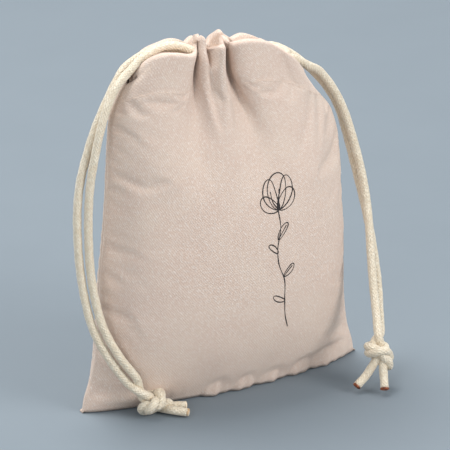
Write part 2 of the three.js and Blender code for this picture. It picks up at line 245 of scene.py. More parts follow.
def cord_tube(name, line, radius, finish, sides=20, waver=0.03, seed=1):
    """A closed round tube along a line, a little uneven, as soft cord is. Millimetres in."""
    rng = np.random.default_rng(seed)
    line = np.asarray(line, float)
    steps = np.linalg.norm(np.diff(line, axis=0), axis=1)
    along = np.r_[0, np.cumsum(steps)]
    tangent = np.gradient(line, axis=0)
    tangent /= np.linalg.norm(tangent, axis=1)[:, None]
    side = np.cross(tangent[0], [0.3, 0.1, 0.9])
    side /= np.linalg.norm(side)
    sides_at = []
    for t in tangent:
        side = side - t * (side @ t)
        side /= np.linalg.norm(side)
        sides_at.append(side)
    sides_at = np.array(sides_at)
    other = np.cross(tangent, sides_at)
    angle = np.arange(sides) / sides * math.tau
    phases = rng.uniform(0, math.tau, 4)
    wave = (
        np.sin(along * 0.9 + phases[0])[:, None] * np.sin(2 * angle + phases[1])[None]
        + 0.6 * np.sin(along * 2.3 + phases[2])[:, None] * np.sin(3 * angle + phases[3])[None]
    )
    radii = radius * (1 + waver * wave)
    ring = (
        line[:, None]
        + radii[..., None] * (np.cos(angle)[None, :, None] * sides_at[:, None]
                              + np.sin(angle)[None, :, None] * other[:, None])
    )
    points = ring.reshape(-1, 3)
    count = len(line)
    faces = []
    for k in range(count - 1):
        for j in range(sides):
            n = (j + 1) % sides
            faces.append((k * sides + j, k * sides + n, (k + 1) * sides + n, (k + 1) * sides + j))
    first = len(points)
    caps = np.array([line[0] - tangent[0] * 0.3, line[-1] + tangent[-1] * 0.3])
    points = np.vstack([points, caps])
    for j in range(sides):
        n = (j + 1) % sides
        faces.append((first, n, j))
        faces.append((first + 1, (count - 1) * sides + j, (count - 1) * sides + n))
    made = add_mesh(name, points * MM, faces, finish)
    round_it = np.abs((angle / math.tau) * 2 - 1) * math.pi * 1.5
    places = np.stack(np.broadcast_arrays(along[:, None], round_it[None]), axis=-1).reshape(-1, 2)
    places = np.vstack([places, [[0, 0], [along[-1], 0]]]) * MM
    set_uv(made, places)
    return made


CORD_RADIUS = 1.5

# The route of each pair from its pivot to the knot, and half the way from the back strand to
# the front one in cord radii, as in the frame
LEFT_PAIR = [
    ((-36.5, 0, 124.8), (0, -1.17, 0)),
    ((-41.2, -0.6, 120.2), (-0.27, -1.07, 0.2)),
    ((-45.2, -1.2, 114), (-0.27, -1.07, 0.2)),
    ((-48.9, -1.6, 106), (0, -1.17, 0.07)),
    ((-52, -1.8, 96.5), (0.47, -1.07, 0.07)),
    ((-54.4, -2, 87), (0.87, -0.9, 0.07)),
    ((-55.6, -2.3, 77), (1.07, -0.73, 0)),
    ((-55.9, -2.8, 66), (1.07, -0.67, 0)),
    ((-55.6, -3.6, 55), (1, -0.67, 0)),
    ((-54.6, -5.2, 44), (0.97, -0.67, 0.07)),
    ((-52.6, -7.4, 33.5), (0.97, -0.67, 0.27)),
    ((-47.8, -10.4, 22.5), (0.9, -0.6, 0.53)),
    ((-42, -12.6, 13.6), (0.77, -0.4, 0.77)),
]
RIGHT_PAIR = [
    ((36, 2, 112.8), (0, -1.17, 0)),
    ((41, 3.3, 109), (0.2, -1.13, 0.27)),
    ((46.2, 2.8, 102.4), (0.13, -1.13, 0.2)),
    ((50.4, 1.6, 94), (0, -1.17, 0.07)),
    ((52.6, -0.6, 84.5), (0.1, -1.17, 0)),
    ((54.2, -3.2, 74.5), (0.1, -1.17, 0.07)),
    ((55, -6.6, 64.3), (-0.1, -1.17, 0.07)),
    ((54.8, -10.8, 54), (-0.5, -1.07, 0)),
    ((53.8, -15.2, 43.9), (-0.87, -0.85, 0.07)),
    ((52.4, -20, 33.5), (-1.03, -0.7, 0.07)),
    ((50.4, -25, 25), (-0.93, -0.83, 0.07)),
    ((48.2, -29.8, 18.2), (-0.8, -0.95, 0.07)),
]
# Each strand from inside the mouth to its pivot, front strand first: it lies in the pleats here,
# where the frame has a plain channel
LEFT_LEADS = [
    [
        (-9, -3.6, 126.5), (-13.2, -2.8, 128.6), (-17, -1.9, 130.4),
        (-22, -1.4, 131.2), (-28, -1.3, 130), (-32.6, -1.5, 127.7),
    ],
    [(-9, 3.6, 125.2), (-14, 3.2, 127.2), (-20, 2.8, 128.8), (-26, 2.5, 128.8), (-31.6, 2.1, 127.2)],
]
RIGHT_LEADS = [
    [(12, -3.6, 119.5), (18, -2.6, 119.6), (24, -1.2, 118.8), (30.5, -0.2, 116.4)],
    [(12, 3.6, 120.5), (18, 4, 121.6), (24, 4.2, 121), (30.5, 3.9, 117.4)],
]
LEFT_TAILS = [
    [(-29.3, -18.9, 2.3), (-25.6, -21.9, 1.9)],
    [(-28.4, -14.4, 2.3), (-23.4, -16.2, 1.9)],
]
RIGHT_TAILS = [
    [(40.8, -33.3, 5.8), (37, -33.5, 2.9)],
    [(45.3, -37.7, 6.4), (44.2, -40.2, 2.9)],
]
LEFT_KNOT = (-35, -14.4, 5.5)
RIGHT_KNOT = (46.3, -33, 13)

satin_finish = satin()


def tied_strands(ends_in, ends_out, middle, tangle_turn, contact, strand_length):
    """Ties two strands, held side by side, in one overhand knot and pulls it tight.

    The strands start as a wide trefoil, keep their length and can't pass through each other,
    while their four ends are drawn to where the strands arrive and the tails leave.
    """
    count = 66
    into = np.asarray(ends_in, float).mean(0)
    out = np.asarray(ends_out, float).mean(0)
    middle = np.asarray(middle, float)
    axis = (out - into) / np.linalg.norm(out - into)
    side = np.cross(axis, [0.2, 1.0, 0.1])
    side /= np.linalg.norm(side)
    third = np.cross(axis, side)
    turn = math.cos(tangle_turn) * side + math.sin(tangle_turn) * third
    across = np.cross(axis, turn)
    t = np.linspace(0.28, math.tau - 0.28, count - 16)
    ring = 2 + np.cos(3 * t)
    loop = np.stack([ring * np.cos(2 * t) - 3, ring * np.sin(2 * t), np.sin(3 * t)], axis=1) * 4.2
    body = middle + loop[:, :1] * turn + loop[:, 1:2] * across + loop[:, 2:] * -axis
    lead_in = np.linspace(0, 1, 8, endpoint=False)[:, None]
    start = into - axis * 14
    finish_at = out + axis * 14
    head = start * (1 - lead_in) + body[0] * lead_in
    foot = body[-1] * (1 - lead_in - 0.125) + finish_at * (lead_in + 0.125)
    centre = np.vstack([head, body, foot])
    centre = smooth_line(centre, 0.1)
    pick = np.linspace(0, len(centre) - 1, count).round().astype(int)
    centre = centre[pick]
    tangent = np.gradient(centre, axis=0)
    tangent /= np.linalg.norm(tangent, axis=1)[:, None]
    beside = np.cross(tangent, across)
    beside /= np.linalg.norm(beside, axis=1)[:, None]
    strands = np.stack([centre + beside * contact / 2, centre - beside * contact / 2])
    first_length = np.linalg.norm(np.diff(centre, axis=0), axis=1).sum() / (count - 1)
    length_end = strand_length / (count - 1)
    near = max(2, int(math.ceil(contact / length_end * 1.25)))
    index = np.arange(2 * count)
    strand_of = index // count
    place_of = index % count
    same = strand_of[:, None] == strand_of[None]
    apart = (~same) | (np.abs(place_of[:, None] - place_of[None]) > near)
    pairs = np.argwhere(np.triu(apart, 1))
    one, two = pairs[:, 0], pairs[:, 1]
    rounds = 700
    stiff = 0.08 + 0.4 * np.exp(-np.arange(1, count - 1) / 3.5)[:, None]
    drift = np.sin(np.linspace(0, math.pi, count))[:, None] ** 2
    targets_in = np.asarray(ends_in, float)
    targets_out = np.asarray(ends_out, float)
    begin_in = strands[:, 0].copy()
    begin_out = strands[:, -1].copy()
    for step in range(rounds):
        share = min(1.0, step / (rounds * 0.7))
        rest = first_length + (length_end - first_length) * share
        strands[:, 0] = begin_in + (targets_in - begin_in) * share
        strands[:, -1] = begin_out + (targets_out - begin_out) * share
        for _ in range(4):
            gap = np.diff(strands, axis=1)
            length = np.linalg.norm(gap, axis=2, keepdims=True)
            push = gap * (0.5 * (length - rest) / length)
            strands[:, :-1] += push
            strands[:, 1:] -= push
            flat = strands.reshape(-1, 3)
            delta = flat[two] - flat[one]
            distance = np.linalg.norm(delta, axis=1)
            close = distance < contact
            overlap = contact - distance[close]
            shove = delta[close] * (0.42 * overlap / np.maximum(distance[close], 1e-6))[:, None]
            np.add.at(flat, one[close], -shove)
            np.add.at(flat, two[close], shove)
            strands = flat.reshape(2, count, 3)
            bend = (strands[:, :-2] + strands[:, 2:]) / 2 - strands[:, 1:-1]
            strands[:, 1:-1] += stiff * bend
            strands += drift * (middle - (strands * drift).sum((0, 1)) / (2 * drift.sum())) * 0.3
            low = CORD_RADIUS + 0.25
            strands[..., 2] = np.maximum(strands[..., 2], low)
            strands[:, 0] = begin_in + (targets_in - begin_in) * share
            strands[:, -1] = begin_out + (targets_out - begin_out) * share
    return strands


def pair_point(stop, side):
    return np.array(stop[0]) + side * CORD_RADIUS * np.array(stop[1])


def melted(name, light, dark, gloss):
    """Satin yarn melted into a bead: glassy, browned where the flame caught it."""
    finish = Finish(name)
    solid = finish.node("ShaderNodeTexCoord", None, None, output=3)
    uneven = finish.noise(solid, 700.0, 3.0)
    base = finish.mix(uneven.between(0.35, 0.65), light, dark)
    finish.set(Base_Color=base, Roughness=gloss + 0.2 * uneven, Specular_IOR_Level=0.5)
    finish.set(Normal=finish.bump(uneven, 0.0003))
    return finish


def melted_tip(name, place, way, finish, seed):
    """A flattened bead on a cord's cut end."""
    way = way / np.linalg.norm(way)
    side = np.cross(way, [0.1, 0.2, 1.0])
    side /= np.linalg.norm(side)
    other = np.cross(way, side)
    rings = 9
    sides = 18
    rng = np.random.default_rng(60 + seed)
    lumps = rng.uniform(0, math.tau, 3)
    points, faces = [], []
    for k in range(1, rings):
        turn = math.pi * k / rings
        for j in range(sides):
            angle = j / sides * math.tau
            lump = 1 + 0.08 * math.sin(2 * angle + lumps[0]) + 0.06 * math.sin(3 * angle + turn + lumps[1])
            radius = CORD_RADIUS * 1.04 * math.sin(turn) ** 0.7 * lump
            step = side * math.cos(angle) + other * math.sin(angle)
            points.append(place - way * (0.62 * math.cos(turn) - 0.3) + step * radius)
    for k in range(rings - 2):
        for j in range(sides):
            n = (j + 1) % sides
            faces.append((k * sides + j, k * sides + n, (k + 1) * sides + n, (k + 1) * sides + j))
    faces.append(tuple(range(sides))[::-1])
    last = (rings - 2) * sides
    faces.append(tuple(last + j for j in range(sides)))
    return add_mesh(name, np.array(points) * MM, faces, finish)


tip_finishes = {
    "left": melted("tip_left", colour(236, 222, 198), colour(190, 152, 108), 0.4),
    "right": melted("tip_right", colour(158, 84, 44), colour(84, 40, 22), 0.25),
}

for side_name, leads, pair, knot, tails, twist, knot_length in (
    ("left", LEFT_LEADS, LEFT_PAIR, LEFT_KNOT, LEFT_TAILS, 0.4, 52.0),
    ("right", RIGHT_LEADS, RIGHT_PAIR, RIGHT_KNOT, RIGHT_TAILS, 2.0, 48.0),
):
    entries = [pair_point(pair[-1], side) for side in (1, -1)]
    starts = [tails[0][0], tails[1][0]]
    tied = tied_strands(entries, starts, knot, twist, 2.2, knot_length)
    for number, (place, side) in enumerate((("front", 1), ("back", -1))):
        route = [pair_point(stop, side) for stop in pair[:-1]]
        line = smooth_line([*leads[number], *route, *tied[number][::2], *tails[number]], 0.7)
        strand = cord_tube(f"{side_name}_{place}_cord", line, CORD_RADIUS, satin_finish, seed=number + 3)
        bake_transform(strand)
        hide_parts(f"{side_name}_{place}_strand", f"{side_name}_{place}_tail", f"{side_name}_knot")
        tip_finish = tip_finishes[side_name]
        tip = melted_tip(f"{side_name}_{place}_tip", line[-1], line[-1] - line[-4], tip_finish, number)
        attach(tip, f"{side_name}_cord_ends")
        length = np.linalg.norm(np.diff(line, axis=0), axis=1).sum()
        tuple(line[0] * MM)
        [tuple(p) for p in line * MM]


# ---------------------------------------------------------------------------
# Front and back: two pieces of peach-skin suede cloth, sewn together down both
# sides and along the bottom, turned right side out and stuffed. The top of each
# is folded to the inside and sewn down into a casing, which is gathered on the
# cords, so the pleats run down from it.
# ---------------------------------------------------------------------------
FLAT_WIDTH = 118.0
CLOTH_THICKNESS = 0.7
FLOOR_GAP = 0.4
MOUTH_TILT = math.tan(math.radians(7))
CASING_HEIGHT = 130.0
COLUMNS = 180
HEM_DEPTH = 10.5
HEM_ROLL = 1.1

# The sack from its bottom seam to its mouth: share of the height, half width, half depth,
# roundness and lean to the right
SHAPE = [
    (0.00, 55.6, 9.4, 1.65, 0),
    (0.03, 54.9, 11.6, 1.65, 0),
    (0.08, 52.8, 14.0, 1.7, 0.1),
    (0.15, 51.0, 17.4, 1.9, 0.2),
    (0.25, 49.9, 20.0, 2.1, 0.4),
    (0.36, 49.0, 21.0, 2.2, 0.8),
    (0.47, 48.0, 20.6, 2.2, 1.2),
    (0.58, 47.0, 19.0, 2.2, 1.5),
    (0.68, 46.0, 17.0, 2.2, 1.6),
    (0.76, 44.8, 14.9, 2.2, 1.4),
    (0.82, 43.4, 13.4, 2.3, 1.1),
    (0.87, 41.4, 12.3, 2.4, 0.8),
    (0.91, 39.2, 11.6, 2.6, 0.4),
    (0.95, 36.8, 11.2, 2.8, 0.1),
    (1.00, 32.5, 11.0, 3.2, 0),
]
# The gathered neck of each side seen from above, from its left end to its right one
NECK = {
    "front": [
        (-34.6, 0), (-33, -4.5), (-28.5, -8.4), (-21.5, -10.4), (-17, -10), (-14, -8.2), (-11.6, -5.2),
        (-10.2, -2.6), (-10.4, -5), (-10.7, -7.2), (-9.8, -8.8), (-8.6, -9.2), (-7.8, -9.2), (-7.2, -10.6),
        (-6.4, -12.2), (-5, -12.8), (-4, -11.6), (-3, -9.4), (-1.6, -6.4), (-0.2, -3.4), (-0.2, -5.6),
        (-0.7, -8), (-0.4, -10.4), (1.6, -12.2), (6, -12.9), (11, -12.6), (15, -11.4), (18, -10.6),
        (21, -10.8), (25.5, -9.4), (29.6, -5.8), (32.5, 0),
    ],
    "back": [
        (-34.6, 0), (-33, 4.2), (-28.5, 7.4), (-22, 9), (-16.5, 9), (-13.6, 7), (-12.2, 4.4), (-10.8, 6.8),
        (-8.6, 9), (-5.8, 8.8), (-4.2, 6.6), (-3.2, 4.4), (-2, 6.6), (0.4, 8.8), (3.4, 9), (5.2, 6.8),
        (6.2, 4.4), (7.4, 6.8), (10.4, 9.2), (15, 9.4), (17.4, 7.4), (18.6, 5.6), (20.2, 7.6), (24.5, 8.6),
        (29.5, 5.8), (32.5, 0),
    ],
}
# Height of the mouth's edge along its width, before the mouth tilts
MOUTH_EDGE = {
    "front": [
        (-35, 117.4), (-33.4, 121), (-31, 124.3), (-28, 126.4), (-22, 127.2), (-16, 126.2), (-13, 126.2),
        (-11, 128.5), (-10, 131.3), (-8.9, 130.8), (-7.8, 127), (-6.6, 129),
        (-5, 129.9), (-3.5, 129.4), (-1, 129.6),
        (2, 131), (7, 131.4), (13, 130), (19, 126.8), (24, 123.4), (29, 119.4), (33, 115.5),
    ],
    "back": [
        (-35, 117.4), (-32, 120.2), (-27.5, 123.3), (-20, 125.7), (-13, 127.2), (-9.5, 126), (-6.5, 127.4),
        (-3, 125.8), (0, 128.6), (2, 130.4), (4.5, 128.4), (8, 126.4), (14, 127), (20, 125.4), (25, 122.4),
        (29.5, 118.6), (33, 115.5),
    ],
}
NEARLY_ALL = 0.999
# How far the pleats of the neck reach down the cloth: share of the height, share of the pleat
FOLD_REACH = [(0, 0), (0.56, 0), (0.66, 0.08), (0.74, 0.26), (0.81, 0.52), (0.87, 0.8), (0.92, 1), (1, 1)]


def smooth_step(value, low, high):
    share = np.clip((value - low) / (high - low), 0, 1)
    return share * share * (3 - 2 * share)


def through(table, places, column=1):
    """A smooth curve through a table's rows, read at the given places."""
    table = np.asarray(table, float)
    x, y = table[:, 0], table[:, column]
    slope = np.gradient(y, x)
    index = np.clip(np.searchsorted(x, places) - 1, 0, len(x) - 2)
    step = x[index + 1] - x[index]
    t = np.clip((places - x[index]) / step, 0, 1)
    return (
        (2 * t ** 3 - 3 * t ** 2 + 1) * y[index] + (t ** 3 - 2 * t ** 2 + t) * step * slope[index]
        + (3 * t ** 2 - 2 * t ** 3) * y[index + 1] + (t ** 3 - t ** 2) * step * slope[index + 1]
    )


def even_curve(points, shares):
    """Points of a plane curve at shares of its length."""
    lengths = np.r_[0, np.cumsum(np.linalg.norm(np.diff(points, axis=0), axis=1))]
    return np.stack([np.interp(shares * lengths[-1], lengths, points[:, a]) for a in (0, 1)], axis=1)


def half_oval(width, depth, roundness, shares, front):
    angle = np.linspace(0, math.pi, 721)
    x = -np.sign(np.cos(angle)) * np.abs(np.cos(angle)) ** (2 / roundness) * width
    y = np.abs(np.sin(angle)) ** (2 / roundness) * depth * front
    return even_curve(np.stack([x, y], axis=1), shares)


def hem_wave(x):
    """How far the front's lower edge is pushed out, right of a small step in it."""
    past = smooth_step(x, -13, -11) * (1 - smooth_step(x, 44, 52))
    return past * (1.5 + 0.6 * np.sin(x * 0.52) + 0.3 * np.sin(x * 1.3))


def lay_cloth(side):
    """One side's cloth as rows of points: under the sack, up its face, over the mouth and down inside."""
    front = -1 if side == "front" else 1
    shares = np.linspace(0, 1, COLUMNS + 1)
    neck = even_curve(smooth_line([(x, y, 0) for x, y in NECK[side]], 0.2)[:, :2], shares)
    neck_oval = half_oval(32.5, 11.0, 3.2, shares, front)
    edge = through(MOUTH_EDGE[side], neck[:, 0])
    rng = np.random.default_rng(21 if side == "front" else 22)
    rows = []
    bottom = half_oval(*SHAPE[0][1:4], shares, front)
    if side == "front":
        bottom[:, 1] -= hem_wave(bottom[:, 0])
    for share in np.linspace(0, 1, 9, endpoint=False):
        arch = 1.6 * math.sin(share * math.pi) * np.sin(shares * math.pi)
        y = front * 0.5 + (bottom[:, 1] - front * 0.5) * share
        rows.append(np.stack([bottom[:, 0], y, FLOOR_GAP + arch], axis=1))
    for rise in np.r_[np.linspace(0, 0.62, 62, endpoint=False), np.linspace(0.62, 1, 62)]:
        width, depth, roundness, lean = (float(through(SHAPE, np.array([rise]), c)[0]) for c in (1, 2, 3, 4))
        belly = depth if side == "front" else depth - 2.0 * math.sin(math.pi * rise)
        oval = half_oval(width, belly, roundness, shares, front)
        oval[:, 0] += lean
        reach = NEARLY_ALL * float(np.interp(rise, *np.array(FOLD_REACH).T))
        plan = oval + reach * (neck - neck_oval)
        if side == "front":
            plan[:, 1] -= hem_wave(plan[:, 0]) * (1 - smooth_step(rise, 0, 0.06))
        z = FLOOR_GAP + rise * CASING_HEIGHT + (edge - CASING_HEIGHT - FLOOR_GAP) * smooth_step(rise, 0.7, 1)
        end = np.minimum(shares, 1 - shares) * FLAT_WIDTH
        plan[:, 1] += front * 3.4 * np.exp(-(end / 5) ** 2) * smooth_step(rise, 0.965, 1.0)
        if side == "front":
            outer = np.clip((np.abs(plan[:, 1]) - 4) / 4, 0, 1)
            hole = np.exp(-((plan[:, 0] + 7.9) / 0.8) ** 2) * outer
            plan[:, 1] += 5.0 * hole * smooth_step(rise, 0.95, 0.985)
            finger = np.exp(-((plan[:, 0] + 10) / 1.5) ** 2) * outer
            plan[:, 1] += 2.6 * finger * smooth_step(rise, 0.94, 1)
        else:
            knob = np.exp(-((plan[:, 0] - 2) / 2.6) ** 2)
            plan[:, 1] -= 4.0 * knob * smooth_step(rise, 0.93, 1)
        z = z - plan[:, 0] * MOUTH_TILT * smooth_step(rise, 0.5, 0.8)
        rows.append(np.stack([plan[:, 0], plan[:, 1], z], axis=1))
    top = rows[-1].copy()
    inner_y = front * np.clip(0.9 + 0.3 * (np.abs(top[:, 1]) - 4), 0.7, 3.2)
    for turn in np.linspace(0, math.pi, 7)[1:]:
        row = top.copy()
        inward = np.minimum(np.abs(top[:, 1] - inner_y) / 2, 1.6)
        row[:, 1] = top[:, 1] - front * inward * (1 - math.cos(turn))
        row[:, 2] = top[:, 2] + HEM_ROLL * math.sin(turn)
        rows.append(row)
    start = rows[-1].copy()
    for fall in np.linspace(0, 1, 10)[1:]:
        row = start.copy()
        row[:, 1] += (inner_y - start[:, 1]) * smooth_step(fall, 0, 0.35)
        row[:, 2] -= HEM_DEPTH * fall
        rows.append(row)
    return np.array(rows)


UNDER_ROWS = 9
FACE_ROWS = 124


def grid_faces(rows, columns, flip):
    corner = np.arange((rows - 1) * columns).reshape(rows - 1, columns)
    corner = corner[:, :-1].ravel()
    faces = np.stack([corner, corner + 1, corner + columns + 1, corner + columns], axis=1)
    return faces[:, ::-1] if flip else faces


def peach_skin():
    """Brushed suede cloth: a fine slanting twill under a short, cloudy nap, pinkish beige."""
    finish = Finish("suede")
    place = finish.node("ShaderNodeUVMap", {"uv_map": "flat"})
    parts = finish.tree.nodes.new("ShaderNodeSeparateXYZ")
    finish.join(place, parts.inputs[0])
    across = Wire(finish, parts.outputs[0])
    up = Wire(finish, parts.outputs[1])
    wander = finish.noise(place, 620.0, 2.0) * 1.5 + finish.noise(place, 60.0, 2.0) * 1.2
    rib = ((across * 1070.0 + up * 920.0 + wander) * math.tau).sine()
    thread = ((across * 1500.0 - up * 1750.0 + wander) * math.tau).sine()
    nap = finish.noise(place, 2600.0, 4.0, 0.7)
    fleck = finish.noise(place, 900.0, 3.0, 0.7)
    cloud = finish.noise(place, 90.0, 4.0, 0.6)
    patch = finish.noise(place, 26.0, 3.0, 0.5)
    base = finish.mix(patch.between(0.3, 0.7), colour(222, 200, 184), colour(226, 207, 190))
    base = finish.mix(cloud.between(0.3, 0.7) * 0.5, base, colour(214, 188, 172))
    base = finish.mix(fleck.between(0.43, 0.66) * 0.68, base, colour(243, 232, 222))
    broken = fleck.between(0.35, 0.65) * 0.5 + 0.5
    base = finish.mix((rib * 0.5 + 0.5) * broken * 0.42, base, colour(182, 150, 132))
    base = finish.mix(nap.between(0.46, 0.68) * 0.55, base, colour(184, 154, 138))
    finish.set(Base_Color=base, Roughness=0.86 + 0.1 * fleck, Sheen_Weight=0.35, Sheen_Roughness=0.55)
    finish.set(Specular_IOR_Level=0.18, Sheen_Tint=colour(255, 240, 228))
    relief = rib * broken * 0.55 + thread * 0.4 + nap * 2.2 + fleck * 1.6
    finish.set(Normal=finish.bump(relief, 0.000065))
    return finish


suede = peach_skin()
SIM_SCALE = 20.0
SETTLE_FRAMES = 22
MOST_MOVE = 4.0


def settle(points, faces, side):
    """Lets the cloth sag and crease on its stuffing, held at its seams, its floor and its casing."""
    rows, columns = points.shape[:2]
    mesh_object = add_mesh(f"{side}_sim", points.reshape(-1, 3) * MM * SIM_SCALE, faces)
    hold = np.zeros((rows, columns))
    row_share = np.arange(rows) / (UNDER_ROWS + FACE_ROWS - 1)
    hold[:UNDER_ROWS + 2] = 1
    hold += smooth_step(row_share, 0.86, 0.93)[:, None]
    edge = np.minimum(np.arange(columns), columns - 1 - np.arange(columns)) / columns
    hold += (1 - smooth_step(edge, 0.0, 0.02))[None]
    hold = np.clip(hold, 0, 1).ravel()
    group = mesh_object.vertex_groups.new(name="held")
    for level in np.unique(np.round(hold, 2)):
        chosen = np.nonzero(np.round(hold, 2) == level)[0].tolist()
        group.add(chosen, float(level), "REPLACE")
    cloth = mesh_object.modifiers.new("cloth", "CLOTH")
    cloth.settings.quality = 6
    cloth.settings.mass = 0.25
    cloth.settings.tension_stiffness = 25
    cloth.settings.compression_stiffness = 25
    cloth.settings.shear_stiffness = 12
    cloth.settings.bending_stiffness = 1.2
    cloth.settings.vertex_group_mass = "held"
    cloth.settings.pin_stiffness = 8
    cloth.settings.shrink_min = -0.012
    cloth.settings.shrink_max = -0.012
    cloth.settings.use_pressure = True
    cloth.settings.uniform_pressure_force = 1.5
    cloth.settings.effector_weights.gravity = 0.06
    cloth.collision_settings.use_collision = False
    scene = bpy.context.scene
    scene.frame_start = 1
    scene.frame_end = SETTLE_FRAMES
    cloth.point_cache.frame_start = 1
    cloth.point_cache.frame_end = SETTLE_FRAMES
    for step in range(1, SETTLE_FRAMES + 1):
        scene.frame_set(step)
    shaped = mesh_object.evaluated_get(bpy.context.evaluated_depsgraph_get()).to_mesh()
    settled = np.zeros(len(shaped.vertices) * 3)
    shaped.vertices.foreach_get("co", settled)
    settled = settled.reshape(points.shape) / (MM * SIM_SCALE)
    mesh_object.evaluated_get(bpy.context.evaluated_depsgraph_get()).to_mesh_clear()
    bpy.data.objects.remove(mesh_object)
    scene.frame_set(1)
    move = settled - points
    length = np.linalg.norm(move, axis=2, keepdims=True)
    return points + move * np.minimum(1, MOST_MOVE / np.maximum(length, 1e-9))


cloths = {}
for side in ("front", "back"):
    points = lay_cloth(side)
    rows, columns = points.shape[:2]
    faces = grid_faces(rows, columns, side == "back")
    points = settle(points, faces, side)
    points[..., 2] = np.maximum(points[..., 2], FLOOR_GAP)
    cloths[side] = points
    middle = points[:, columns // 2]
    up = np.r_[0, np.cumsum(np.linalg.norm(np.diff(middle, axis=0), axis=1))]
    panel = add_mesh(f"{side}_cloth", points.reshape(-1, 3) * MM, faces, suede)
    across = (np.linspace(0, 1, columns) - 0.5) * FLAT_WIDTH
    places = np.stack(np.broadcast_arrays(across[None], up[:, None]), axis=-1).reshape(-1, 2) * MM
    set_uv(panel, places + (0 if side == "front" else 0.5))
    solid = panel.modifiers.new("thickness", "SOLIDIFY")
    solid.thickness = CLOTH_THICKNESS * MM
    solid.offset = -1
    bpy.context.view_layer.objects.active = panel
    bpy.ops.object.modifier_apply(modifier="thickness")
    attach(panel, "sack")
    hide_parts(f"{side}_panel", f"{side}_casing")


def on_cloth(side, column, row, lift=0.0):
    """The point of a cloth's face at a column and row of its grid, and its outward direction."""
    points = cloths[side]
    c0 = int(np.clip(math.floor(column), 0, points.shape[1] - 2))
    r0 = int(np.clip(math.floor(row), 0, points.shape[0] - 2))
    a, b = column - c0, row - r0
    p00, p10 = points[r0, c0], points[r0, c0 + 1]
    p01, p11 = points[r0 + 1, c0], points[r0 + 1, c0 + 1]
    place = (p00 * (1 - a) + p10 * a) * (1 - b) + (p01 * (1 - a) + p11 * a) * b
    normal = np.cross(p10 - p00 + p11 - p01, p01 - p00 + p11 - p10)
    normal /= np.linalg.norm(normal)
    if side == "back":
        normal = -normal
    return place + normal * lift, normal


# ---------------------------------------------------------------------------
# Casing stitching: one row of lockstitch in matching thread, which holds the
# turned-in top of each cloth and is the floor of the cords' tunnel.
# ---------------------------------------------------------------------------
def thread_finish():
    """Matching polyester thread with a fine twist."""
    finish = Finish("thread")
    solid = finish.node("ShaderNodeTexCoord", None, None, output=3)
    uneven = finish.noise(solid, 2400.0, 3.0)
    base = finish.mix(uneven, colour(196, 172, 154), colour(226, 206, 190))
    finish.set(Base_Color=base, Roughness=0.55 + 0.2 * uneven, Sheen_Weight=0.2)
    finish.set(Normal=finish.bump(uneven, 0.00005))
    return finish


thread = thread_finish()
STITCH_LENGTH = 2.4
STITCH_RADIUS = 0.17
STITCH_ROW = UNDER_ROWS + 106


def stitch(start, end, normal, points, faces):
    """One stitch: a short round thread that dips into the cloth at both ends."""
    along = (end - start)
    length = np.linalg.norm(along)
    along /= length
    side_way = np.cross(along, normal)
    first = len(points)
    rings = 7
    sides = 6
    for k in range(rings):
        t = k / (rings - 1)
        rise = 0.16 * math.sin(math.pi * t) ** 0.5 - 0.14
        radius = STITCH_RADIUS * (0.55 + 0.45 * math.sin(math.pi * t) ** 0.5)
        centre = start + along * length * t + normal * rise
        for j in range(sides):
            angle = j / sides * math.tau
            points.append(centre + radius * (math.cos(angle) * side_way + math.sin(angle) * normal))
    for k in range(rings - 1):
        for j in range(sides):
            n = (j + 1) % sides
            low = first + k * sides
            faces.append((low + j, low + n, low + sides + n, low + sides + j))
    faces.append(tuple(first + j for j in range(sides))[::-1])
    faces.append(tuple(first + (rings - 1) * sides + j for j in range(sides)))


for side in ("front", "back"):
    grid_row = cloths[side][STITCH_ROW]
    lengths = np.r_[0, np.cumsum(np.linalg.norm(np.diff(grid_row, axis=0), axis=1))]
    points, faces = [], []
    place = 3.0
    while place < lengths[-1] - 3.0 - STITCH_LENGTH:
        seen_part = STITCH_LENGTH * 0.82
        ends = [np.interp(place + extra, lengths, np.arange(len(lengths))) for extra in (0, seen_part)]
        start, normal = on_cloth(side, ends[0], STITCH_ROW, 0.05)
        end, _ = on_cloth(side, ends[1], STITCH_ROW, 0.05)
        stitch(start, end, normal, points, faces)
        place += STITCH_LENGTH
    seam = add_mesh(f"{side}_casing_stitches", np.array(points) * MM, faces, thread)
    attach(seam, "sack")
    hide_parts(f"{side}_casing_stitching")


# ---------------------------------------------------------------------------
# Seam allowances: the raw edges of both cloths inside the sack, sewn together
# and overlocked, down each side and along the bottom.
# ---------------------------------------------------------------------------
def seam_finish():
    """The cloth's wrong side under the loops of the overlock thread."""
    finish = Finish("seam_cloth")
    solid = finish.node("ShaderNodeTexCoord", None, None, output=3)
    uneven = finish.noise(solid, 1500.0, 3.0)
    loops = finish.node("ShaderNodeTexWave", {"bands_direction": "Z"}, {"Vector": solid, "Scale": 160.0})
    base = finish.mix(uneven, colour(200, 176, 160), colour(222, 200, 184))
    base = finish.mix(loops * 0.5, base, colour(232, 218, 204))
    finish.set(Base_Color=base, Roughness=0.9)
    finish.set(Normal=finish.bump(uneven + loops, 0.00015))
    return finish


seam_suede = seam_finish()
ALLOWANCE = 6.0


